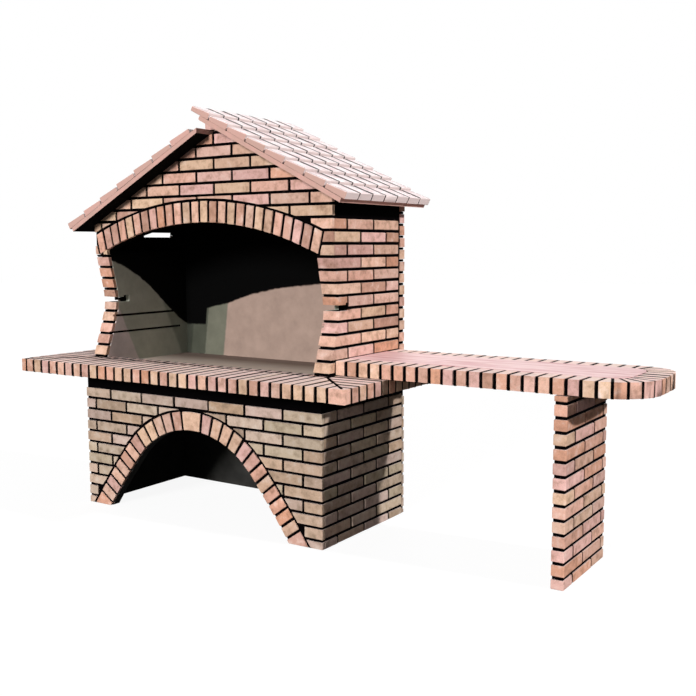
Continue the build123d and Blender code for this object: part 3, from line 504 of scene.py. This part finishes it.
def hearth_floor():
    """Firebrick hearth, ash grey at the front and darker brown towards the back, as painted shade."""
    colours = bpy.context.scene.barbecue_colours
    material, tree = new_material("firebrick hearth")
    spot = put(tree, "ShaderNodeTexCoord").outputs
    place = put(tree, "ShaderNodeSeparateXYZ", {0: spot["Object"]})
    # ash clouds of about 85 mm, which also move the edge of the painted shade by up to 30 mm
    cloud = put(tree, "ShaderNodeTexNoise", {"Vector": spot["Object"], "Scale": scale_of(85), "Detail": 5.0})
    shake = put(tree, "ShaderNodeMapRange", {"Value": cloud.outputs["Fac"], "To Min": -0.03, "To Max": 0.03})
    moved = put(tree, "ShaderNodeMath", {0: place.outputs["Y"], 1: shake.outputs[0]}, operation="ADD")
    darkened = put(tree, "ShaderNodeMapRange", {"Value": moved.outputs[0], "From Min": 0.1, "From Max": 0.32})
    tint = put(tree, "ShaderNodeMix", {
        "Factor": darkened.outputs[0], 6: opaque(colours.hearth), 7: opaque(colours.hearth_shade)},
        data_type="RGBA")
    finish_material(tree, tint.outputs[2], 0.92, cloud.outputs["Fac"], 0.001)
    return material


def tile_joint_shade(tree, spot, top, flank):
    """Socket that is 1 where shade is painted in the joints between the tiles' columns, but not on the
    verges.

    top and flank are sockets that are 1 on the tiles' tops and on their sides.
    """
    place = put(tree, "ShaderNodeSeparateXYZ", {0: spot["Object"]})
    shift = put(tree, "ShaderNodeMath", {0: place.outputs["Y"], 1: ROOF_MIDDLE_Y}, operation="SUBTRACT")
    reach = put(tree, "ShaderNodeMath", {0: shift.outputs[0]}, operation="ABSOLUTE")
    inner = put(tree, "ShaderNodeMath", {
        0: reach.outputs[0], 1: ROOF_HALF - VERGE_FACE}, operation="LESS_THAN")
    # the painted shade also lies some 11 mm wide in the rebates along the tops' sides
    share = put(tree, "ShaderNodeAttribute", attribute_name="across").outputs["Fac"]
    off = put(tree, "ShaderNodeMath", {0: share}, operation="ABSOLUTE")
    side = put(tree, "ShaderNodeMapRange", {"Value": off.outputs[0], "From Min": 0.77, "From Max": 0.81})
    stripe = put(tree, "ShaderNodeMath", {0: side.outputs[0], 1: top}, operation="MULTIPLY")
    either = put(tree, "ShaderNodeMath", {0: stripe.outputs[0], 1: flank}, operation="MAXIMUM")
    joint_shade = put(tree, "ShaderNodeMath", {0: inner.outputs[0], 1: either.outputs[0]}, operation="MULTIPLY")
    return joint_shade.outputs[0]


def roof_tile_clay():
    """Pale clay roof tile, limewashed: nearly white on top, greyish pink where its edges show the body."""
    colours = bpy.context.scene.barbecue_colours
    material, tree = new_material("limewashed clay tile")
    spot = put(tree, "ShaderNodeTexCoord").outputs
    tone = put(tree, "ShaderNodeAttribute", attribute_name="tone").outputs["Fac"]
    facing = put(tree, "ShaderNodeSeparateXYZ", {0: spot["Normal"]})
    top = put(tree, "ShaderNodeMapRange", {"Value": facing.outputs["Z"], "From Min": 0.4, "From Max": 0.8})
    steep = put(tree, "ShaderNodeMath", {0: facing.outputs["Y"]}, operation="ABSOLUTE")
    flank = put(tree, "ShaderNodeMapRange", {"Value": steep.outputs[0], "From Min": 0.5, "From Max": 0.6})
    body = put(tree, "ShaderNodeMix", {
        "Factor": tone, 6: opaque(colours.tile_body), 7: opaque(colours.tile_body_pink)}, data_type="RGBA")
    edge = put(tree, "ShaderNodeMix", {
        "Factor": flank.outputs[0], 6: opaque(colours.tile_nose), 7: body.outputs[2]}, data_type="RGBA")
    # limewash clouds of about 62 mm
    cloud = put(tree, "ShaderNodeTexNoise", {"Vector": spot["Object"], "Scale": scale_of(62), "Detail": 4.0})
    wash = put(tree, "ShaderNodeValToRGB", {"Fac": cloud.outputs["Fac"]})
    set_stops(wash, [(0.35, colours.tile_wash_pink), (0.6, colours.tile_wash)])
    tint = put(tree, "ShaderNodeMix", {
        "Factor": top.outputs[0], 6: edge.outputs[2], 7: wash.outputs["Color"]}, data_type="RGBA")
    # painted shade: near black in the joints between the tile columns and in the rebates
    shaded = put(tree, "ShaderNodeMix", {
        "Factor": tile_joint_shade(tree, spot, top.outputs[0], flank.outputs[0]), 6: tint.outputs[2],
        7: opaque(colours.mortar_grit_and_tile_shade)}, data_type="RGBA")
    # sand of about 4 mm
    sand = put(tree, "ShaderNodeTexNoise", {"Vector": spot["Object"], "Scale": scale_of(4.17), "Detail": 2.0})
    finish_material(tree, shaded.outputs[2], 0.85, sand.outputs["Fac"], 0.0008)
    return material


def roof_slab_concrete():
    """Roof slab of rendered concrete: pinkish on its edges, black underneath as painted shade, and black
    under the tiles.
    """
    colours = bpy.context.scene.barbecue_colours
    material, tree = new_material("rendered roof slab")
    spot = put(tree, "ShaderNodeTexCoord").outputs
    facing = put(tree, "ShaderNodeSeparateXYZ", {0: spot["Normal"]})
    steep = put(tree, "ShaderNodeMath", {0: facing.outputs["Z"]}, operation="ABSOLUTE")
    flat = put(tree, "ShaderNodeMapRange", {"Value": steep.outputs[0], "From Min": 0.6, "From Max": 0.8})
    # clouds of about 70 mm
    cloud = put(tree, "ShaderNodeTexNoise", {"Vector": spot["Object"], "Scale": scale_of(70), "Detail": 5.0})
    edge = put(tree, "ShaderNodeValToRGB", {"Fac": cloud.outputs["Fac"]})
    set_stops(edge, [(0.35, colours.tile_body), (0.65, colours.tile_body_pink)])
    # painted shade: faces that point down are painted black, and so are the tops under the tiles
    tint = put(tree, "ShaderNodeMix", {
        "Factor": flat.outputs[0], 6: edge.outputs["Color"], 7: opaque(colours.soot_and_shade)}, data_type="RGBA")
    finish_material(tree, tint.outputs[2], 0.92, cloud.outputs["Fac"], 0.001, 0.05)
    return material


def pink_ground_slab():
    """Pink concrete slab, ground smooth, with a streaky blush along the table."""
    colours = bpy.context.scene.barbecue_colours
    material, tree = new_material("pink ground slab")
    spot = put(tree, "ShaderNodeTexCoord").outputs
    # streaks of about 310 mm along the table by 45 mm
    stretch = put(tree, "ShaderNodeMapping", {"Vector": spot["Object"], "Scale": (2.0, 14.0, 14.0)})
    streak = put(tree, "ShaderNodeTexNoise", {"Vector": stretch.outputs[0], "Scale": 1.6, "Detail": 4.0})
    tint = put(tree, "ShaderNodeValToRGB", {"Fac": streak.outputs["Fac"]})
    set_stops(tint, [(0.36, colours.inlay_rose), (0.56, colours.inlay)])
    # sand of about 3 mm
    sand = put(tree, "ShaderNodeTexNoise", {"Vector": spot["Object"], "Scale": scale_of(3.33), "Detail": 2.0})
    finish_material(tree, tint.outputs["Color"], 0.7, sand.outputs["Fac"], 0.0004)
    return material


def studio_floor():
    """Matt floor that the camera sees almost white, with the object's shadow on it."""
    material, tree = new_material("pale studio floor")
    path = put(tree, "ShaderNodeLightPath")
    matt = put(tree, "ShaderNodeBsdfDiffuse", {"Color": opaque(grey(FLOOR_GREY))})
    glow = put(tree, "ShaderNodeEmission", {"Color": opaque(grey(1.0)), "Strength": FLOOR_GLOW})
    both = put(tree, "ShaderNodeAddShader", {0: matt.outputs[0], 1: glow.outputs[0]})
    mixed = put(tree, "ShaderNodeMixShader", {
        0: path.outputs["Is Camera Ray"], 1: matt.outputs[0], 2: both.outputs[0]})
    put(tree, "ShaderNodeOutputMaterial", {"Surface": mixed.outputs[0]})
    bpy.ops.object.select_all(action="DESELECT")
    bpy.ops.mesh.primitive_plane_add(size=FLOOR_SIZE, location=(0, 0, 0))
    floor = bpy.context.active_object
    floor.name = "floor"
    floor.data.materials.append(material)


def soft_sky():
    """Sky that is dim at the horizon and brighter overhead, and white to the camera and to reflections."""
    world = bpy.data.worlds.new("soft sky")
    world.use_nodes = True
    tree = world.node_tree
    tree.nodes.clear()
    spot = put(tree, "ShaderNodeTexCoord").outputs
    facing = put(tree, "ShaderNodeSeparateXYZ", {0: spot["Generated"]})
    high = put(tree, "ShaderNodeMapRange", {
        "Value": facing.outputs["Z"], "To Min": SKY_LOW, "To Max": SKY_HIGH})
    sky = put(tree, "ShaderNodeBackground", {"Color": opaque(grey(1.0)), "Strength": high.outputs[0]})
    white = put(tree, "ShaderNodeBackground", {"Color": opaque(grey(1.0)), "Strength": 1.0})
    path = put(tree, "ShaderNodeLightPath").outputs
    glossy = put(tree, "ShaderNodeMath", {
        0: path["Is Camera Ray"], 1: path["Is Glossy Ray"]}, operation="MAXIMUM")
    seen = put(tree, "ShaderNodeMath", {
        0: glossy.outputs[0], 1: path["Is Transmission Ray"]}, operation="MAXIMUM")
    mixed = put(tree, "ShaderNodeMixShader", {0: seen.outputs[0], 1: sky.outputs[0], 2: white.outputs[0]})
    put(tree, "ShaderNodeOutputWorld", {"Surface": mixed.outputs[0]})
    bpy.context.scene.world = world


def lamp_towards(name, strength, softness, towards):
    """Sun lamp that shines in a direction; its disc is softness degrees wide."""
    lamp = bpy.data.lights.new(name, "SUN")
    lamp.energy = strength
    lamp.angle = math.radians(softness)
    holder = bpy.data.objects.new(name, lamp)
    holder.rotation_euler = Vector(towards).to_track_quat("-Z", "Y").to_euler()
    bpy.context.scene.collection.objects.link(holder)


def photograph_camera():
    """Camera where the photograph was taken from."""
    yaw, pitch, roll = (math.radians(value) for value in (CAMERA_YAW, CAMERA_PITCH, CAMERA_ROLL))
    forward = Vector((-math.sin(yaw) * math.cos(pitch), math.cos(yaw) * math.cos(pitch), -math.sin(pitch)))
    level = Vector((math.cos(yaw), math.sin(yaw), 0))
    upright = level.cross(forward)
    right = level * math.cos(roll) + upright * math.sin(roll)
    up = upright * math.cos(roll) - level * math.sin(roll)
    lens = bpy.data.cameras.new("camera")
    lens.sensor_width = SENSOR_WIDTH
    lens.lens = FOCAL_PIXELS / PICTURE_WIDTH * SENSOR_WIDTH
    camera = bpy.data.objects.new("camera", lens)
    turn = Matrix((right, up, -forward)).transposed().to_4x4()
    camera.matrix_world = Matrix.Translation(Vector(CAMERA_PLACE)) @ turn
    bpy.context.scene.collection.objects.link(camera)
    bpy.context.scene.camera = camera


def size_property(name, words, default):
    """Setting of a length, in metres."""
    return FloatProperty(name=name, description=words, default=default, min=0.0, unit="LENGTH")


def colour_property(name, words, code):
    """Setting of a colour, with its sRGB default."""
    return FloatVectorProperty(name=name, description=words, subtype="COLOR", size=3, min=0.0, max=1.0,
                               default=linear(code))


class BarbecueSizes(bpy.types.PropertyGroup):
    """Sizes of the wear on bricks and tiles"""
    brick_wear: size_property("Brick edge wear", "Width of a brick's rubbed edge", 0.0022)
    brick_rub: size_property("Brick shrinkage", "How much smaller a brick is than its place", 0.002)
    brick_lay: size_property("Brick laying tolerance", "How far a brick lies out of place", 0.0016)
    rim_wear: size_property("Rim edge wear", "Width of the rubbed edge of a brick on edge", 0.0038)
    rim_rub: size_property("Rim brick shrinkage", "How much smaller a brick on edge is than its place", 0.004)
    tile_wear: size_property("Tile edge wear", "Width of a tile's rubbed edge", 0.0025)
    tile_rub: size_property("Tile shrinkage", "How much shorter and thinner a tile is than its place", 0.001)
    tile_spread: size_property("Tile spread", "How much wider a tile is than its place", 0.004)
    tile_lay: size_property("Tile laying tolerance", "How far a tile lies out of place", 0.0012)
    chips: size_property("Chips", "How far a worn corner strays", 0.0005)
    # painted shade: how bright the base's bricks are painted, for the shade under the counter
    base_shade_brightness: FloatProperty(name="Base brightness", description="Brightness of the base's soiled bricks",
                             default=0.76, min=0.2, max=1.0)


class BarbecueColours(bpy.types.PropertyGroup):
    """Colours of the masonry"""
    orange_clay: colour_property("Orange clay", "Colour of the orange bricks", "#d0977a")
    salmon_clay: colour_property("Salmon clay", "Colour of the salmon bricks", "#dcac9a")
    beige_clay: colour_property("Beige clay", "Colour of the beige bricks", "#d6b497")
    pink_clay: colour_property("Pink clay", "Colour of the pink bricks", "#deb0a8")
    brown_clay: colour_property("Brown clay", "Colour of the brown bricks", "#bb8f78")
    burnt_clay: colour_property("Burnt clay", "Colour of the dark kiln blotches", "#8d6650")
    bleached_clay: colour_property("Bleached clay", "Colour of the pale blotches", "#eed5c8")
    # painted light on the bricks' tops
    lit_top: colour_property("Lit top", "Colour painted on brick tops as light from above", "#fae3de")
    mortar: colour_property("Mortar", "Colour of the mortar", "#020102")
    # also the colour of the tiles' painted joint shade
    mortar_grit_and_tile_shade: colour_property("Mortar grit", "Colour of the sand in the mortar and of the tiles' painted joint shade", "#0a0809")
    concrete: colour_property("Concrete", "Colour of the cast concrete", "#6d6861")
    concrete_dark: colour_property("Dark concrete", "Colour of its darker clouds", "#4e4a45")
    # painted shade of the wood store
    store_shade: colour_property("Wood store shade", "Colour painted on the wood store's walls as shade", "#33322f")
    store_shade_dark: colour_property("Wood store deep shade", "Colour of their darker clouds", "#201f1d")
    # soot, and painted shade in the firebox and under the roof slabs
    soot_and_shade: colour_property("Soot and shade", "Colour of thick soot", "#030303")
    thin_soot_and_shade: colour_property("Thin soot", "Colour of thin soot", "#0b0b0a")
    # painted light and painted shadow: the linings' colours, lit near the front and shaded towards the back
    lining: colour_property("Lining", "Colour of the side linings near the front, in painted light", "#ddd1cd")
    lining_shadow: colour_property("Lining shadow", "Colour of the linings' painted shadow", "#b6b8aa")
    lining_deep_shadow: colour_property("Lining deep shadow", "Colour of the linings' deeper painted shadow", "#8f9386")
    # painted light and painted shadow: the back wall's colours, lit at the right and shaded towards the left
    back_wall: colour_property("Back wall", "Colour of the back wall in painted light", "#9f897d")
    back_wall_shadow: colour_property("Back wall shadow", "Colour of its painted shadow", "#6b6b5e")
    back_wall_mid_shadow: colour_property("Back wall mid shadow", "Colour of its middling painted shadow", "#494b41")
    back_wall_deep_shadow: colour_property("Back wall deep shadow", "Colour of its deeper painted shadow", "#3c3e36")
    hearth: colour_property("Hearth", "Colour of the hearth's front", "#cbbaac")
    # painted shade at the hearth's back
    hearth_shade: colour_property("Shaded hearth", "Colour of the painted shade at the hearth's back", "#76645a")
    tile_wash: colour_property("Tile wash", "Colour of the tiles' tops", "#f4e9e9")
    tile_wash_pink: colour_property("Pink tile wash", "Colour of the tops' clouds", "#e6cfcf")
    tile_nose: colour_property("Tile nose", "Colour of the tiles' lower ends", "#ead9d6")
    tile_body: colour_property("Tile body", "Colour of the tiles' edges", "#c09c90")
    tile_body_pink: colour_property("Pink tile body", "Colour of the pinker tiles' edges", "#cfa297")
    inlay: colour_property("Inlay", "Colour of the table's inlay", "#dfbcbb")
    inlay_rose: colour_property("Rose inlay", "Colour of the inlay's streaks", "#cb9798")


class BARBECUE_OT_lay_bricks(bpy.types.Operator):
    """Lay the worn bricks of the walls, arches, rims and pier"""
    bl_idname = "barbecue.lay_bricks"
    bl_label = "Lay Bricks"

    def execute(self, context):
        sizes = context.scene.barbecue_sizes
        unshaded = clay_brick("pressed clay brick", 1.0)
        # the base's bricks, but not its arch, are painted in shade
        shaded = clay_brick("soiled pressed clay brick", sizes.base_shade_brightness)
        for name in BRICK_NODES:
            material = shaded if name.startswith("base_") and "arch" not in name else unshaded
            on_edge = "rim" in name
            wear = sizes.rim_wear if on_edge else sizes.brick_wear
            rub = sizes.rim_rub if on_edge else sizes.brick_rub
            worn_copy(name, material, wear, rub, sizes.brick_lay)
        return {"FINISHED"}


class BARBECUE_OT_lay_tiles(bpy.types.Operator):
    """Lay the limewashed tiles of both roof slopes"""
    bl_idname = "barbecue.lay_tiles"
    bl_label = "Lay Roof Tiles"

    def execute(self, context):
        sizes = context.scene.barbecue_sizes
        material = roof_tile_clay()
        rub = (sizes.tile_rub, -sizes.tile_spread, sizes.tile_rub)
        for name in TILE_NODES:
            worn_copy(name, material, sizes.tile_wear, rub, sizes.tile_lay)
        return {"FINISHED"}


class BARBECUE_OT_point_joints(bpy.types.Operator):
    """Fill the joints with black mortar"""
    bl_idname = "barbecue.point_joints"
    bl_label = "Point Joints"

    def execute(self, context):
        dress(POINTING_NODES, tinted_mortar())
        return {"FINISHED"}


class BARBECUE_OT_cast_slabs(bpy.types.Operator):
    """Finish the concrete panels, the roof slabs and the table's inlay"""
    bl_idname = "barbecue.cast_slabs"
    bl_label = "Cast Slabs"

    def execute(self, context):
        colours = context.scene.barbecue_colours
        dress(CONCRETE_NODES, cast_concrete("cast concrete", colours.concrete, colours.concrete_dark))
        # painted shade: the wood store's panels are cast near black
        dress(STORE_SHADE_NODES, cast_concrete("cast concrete in painted shade", colours.store_shade, colours.store_shade_dark))
        dress(ROOF_NODES, roof_slab_concrete())
        dress(INLAY_NODES, pink_ground_slab())
        return {"FINISHED"}


class BARBECUE_OT_fire_the_box(bpy.types.Operator):
    """Line the firebox and darken it with soot and painted shade; paint bands of light and shadow on its
    walls
    """
    bl_idname = "barbecue.fire_the_box"
    bl_label = "Line Firebox"

    def execute(self, context):
        dress(SOOTED_AND_SHADED_NODES, soot_and_shade_black())
        dress(LINING_NODES, shaded_sooted_wall(
            "refractory lining", "Y", LINING_SOOT_AND_SHADOW, LINING_LIGHT_AND_SHADOW, LINING_LEAN, grooved=True))
        dress(("firebox_back_panel",), shaded_sooted_wall(
            "refractory back wall", "X", BACK_SOOT_AND_SHADOW, BACK_LIGHT_AND_SHADOW, BACK_LEAN))
        dress(("hearth_slab",), hearth_floor())
        return {"FINISHED"}


class BARBECUE_OT_set_stage(bpy.types.Operator):
    """Set the floor, the lamps, the sky and the camera"""
    bl_idname = "barbecue.set_stage"
    bl_label = "Set Stage"

    def execute(self, context):
        studio_floor()
        for lamp in LAMPS:
            lamp_towards(*lamp)
        soft_sky()
        photograph_camera()
        context.scene.view_settings.view_transform = "Standard"
        return {"FINISHED"}


class BARBECUE_PT_panel(bpy.types.Panel):
    """Steps and settings of the barbecue"""
    bl_idname = "BARBECUE_PT_panel"
    bl_label = "Garden Barbecue"
    bl_space_type = "VIEW_3D"
    bl_region_type = "UI"
    bl_category = "Barbecue"

    def draw(self, context):
        for operator in OPERATORS:
            self.layout.operator(operator.bl_idname)
        for group in (context.scene.barbecue_sizes, context.scene.barbecue_colours):
            for name in group.bl_rna.properties.keys():
                if name not in ("rna_type", "name"):
                    self.layout.prop(group, name)


OPERATORS = (BARBECUE_OT_lay_bricks, BARBECUE_OT_lay_tiles, BARBECUE_OT_point_joints,
             BARBECUE_OT_cast_slabs, BARBECUE_OT_fire_the_box, BARBECUE_OT_set_stage)
CLASSES = (BarbecueSizes, BarbecueColours) + OPERATORS + (BARBECUE_PT_panel,)


def register():
    for item in CLASSES:
        bpy.utils.register_class(item)
    bpy.types.Scene.barbecue_sizes = PointerProperty(type=BarbecueSizes)
    bpy.types.Scene.barbecue_colours = PointerProperty(type=BarbecueColours)


def unregister():
    del bpy.types.Scene.barbecue_colours
    del bpy.types.Scene.barbecue_sizes
    for item in reversed(CLASSES):
        bpy.utils.unregister_class(item)


def main():
    register()
    bpy.ops.barbecue.lay_bricks()
    bpy.ops.barbecue.lay_tiles()
    bpy.ops.barbecue.point_joints()
    bpy.ops.barbecue.cast_slabs()
    bpy.ops.barbecue.fire_the_box()
    bpy.ops.barbecue.set_stage()


if __name__ == "__main__":
    main()
